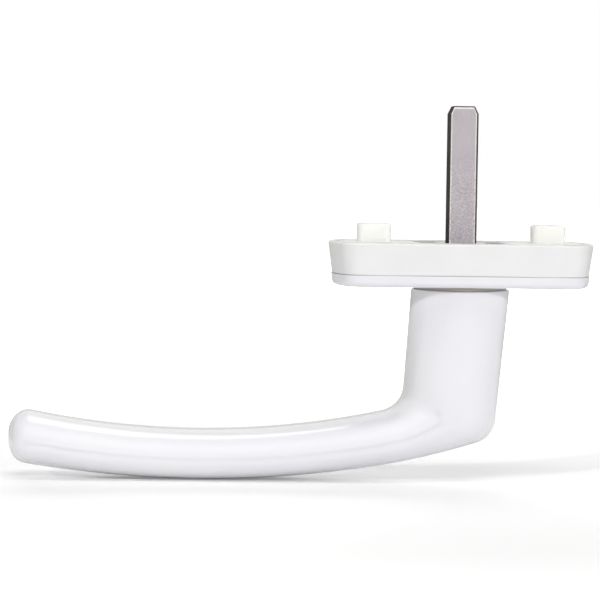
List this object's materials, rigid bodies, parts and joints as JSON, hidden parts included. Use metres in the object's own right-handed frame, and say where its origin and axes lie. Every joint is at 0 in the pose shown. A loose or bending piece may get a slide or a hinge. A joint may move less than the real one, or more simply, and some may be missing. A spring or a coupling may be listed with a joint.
{
  "type": "awning window handle",
  "caption": "Lever handle for an awning window: a curved white lever on an oblong rose turns a square spindle that drives the window's lock gear.",
  "frame": {"origin": "on the spindle's axis, in the rose's back face, which lies on the sash", "axes": "+Z along the spindle into the sash, -X along the lever at rest, Y across the rose"},
  "size_m": [0.143, 0.0288, 0.0922],
  "materials": {
    "white_coat": "glossy white powder coat on an aluminium casting",
    "white_moulding": "white moulded plastic with a soft gloss",
    "cream_nylon": "creamy white moulded nylon",
    "acetal": "plain acetal bearing plastic",
    "zinc_plated_steel": "drawn square bar, dull zinc plate with a fine grain",
    "spring_steel": "oiled spring steel",
    "black_nylon": "black glass-filled nylon"
  },
  "bodies": {
    "rose": {"base_shell": "white_moulding", "lug_carrier": "cream_nylon", "bearing_bush": "acetal", "detent_spring_front": "spring_steel", "detent_spring_rear": "spring_steel"},
    "handle": {"lever": "white_coat", "square_spindle": "zinc_plated_steel", "spindle_pin": "spring_steel", "detent_cam": "black_nylon", "disc_spring": "spring_steel", "circlip": "spring_steel"},
    "cover": {"cover_plate": "white_moulding"}
  },
  "joints": [
    {"name": "lever_turn", "type": "hinge", "parent": "rose", "child": "handle", "pos_m": [0, 0, 0], "axis": [0, 0, 1], "range_deg": [-90, 90], "deforming": ["detent_spring_front", "detent_spring_rear"]},
    {"name": "cover_swivel", "type": "hinge", "parent": "rose", "child": "cover", "pos_m": [0, 0, 0], "axis": [0, 0, 1], "range_deg": [-90, 90]}
  ]
}
